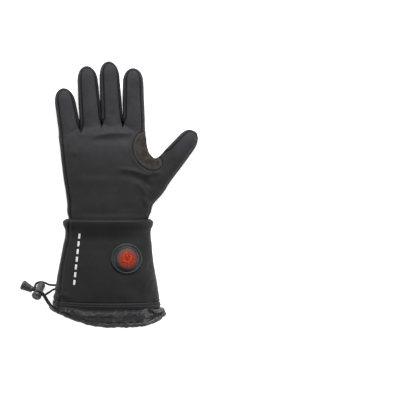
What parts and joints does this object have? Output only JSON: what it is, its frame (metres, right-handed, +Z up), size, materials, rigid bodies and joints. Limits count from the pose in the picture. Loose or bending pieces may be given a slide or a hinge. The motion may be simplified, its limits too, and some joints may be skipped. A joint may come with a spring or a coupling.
{
  "type": "heated glove",
  "caption": "Softshell heated glove lying palm down, with a suede thumb web, a flared gauntlet cuff, a round push button and a gathered skirt with drawcord and cord lock.",
  "frame": {"origin": "on the table under the middle of the glove, measured without its cords and cord lock", "axes": "+X towards the thumb, +Y towards the fingertips, +Z up from the table, through the back of the hand"},
  "size_m": [0.2139, 0.3174, 0.0525],
  "materials": {
    "softshell": "matt brushed softshell, charcoal black",
    "suede": "napped suede, dark brown",
    "skirt_nylon": "thin crinkled nylon, slight sheen",
    "bezel_rubber": "moulded rubber, satin",
    "lit_pad": "translucent silicone lit orange-red",
    "elastic_cord": "braided round cord, black",
    "trim_plastic": "moulded plastic, dark grey, satin"
  },
  "bodies": {
    "glove": {"back_panel": "softshell", "palm_panel": "softshell", "web_patch": "suede", "gauntlet_cuff": "softshell", "storm_skirt": "skirt_nylon", "button_bezel": "bezel_rubber", "drawcord_upper": "elastic_cord", "drawcord_lower": "elastic_cord", "lock_tether": "elastic_cord", "lock_barrel": "trim_plastic", "cord_end": "trim_plastic"},
    "pad": {"button_pad": "lit_pad"},
    "plunger": {"lock_plunger": "trim_plastic"}
  },
  "joints": [
    {"name": "button_press", "type": "slide", "parent": "glove", "child": "pad", "axis": [-0.135, -0.1709, -0.976], "range_m": [0, 0.0008], "stiffness_N_per_m": 1200},
    {"name": "lock_squeeze", "type": "slide", "parent": "glove", "child": "plunger", "axis": [0.2945, 0.7069, -0.6431], "range_m": [0, 0.0025], "stiffness_N_per_m": 900}
  ]
}
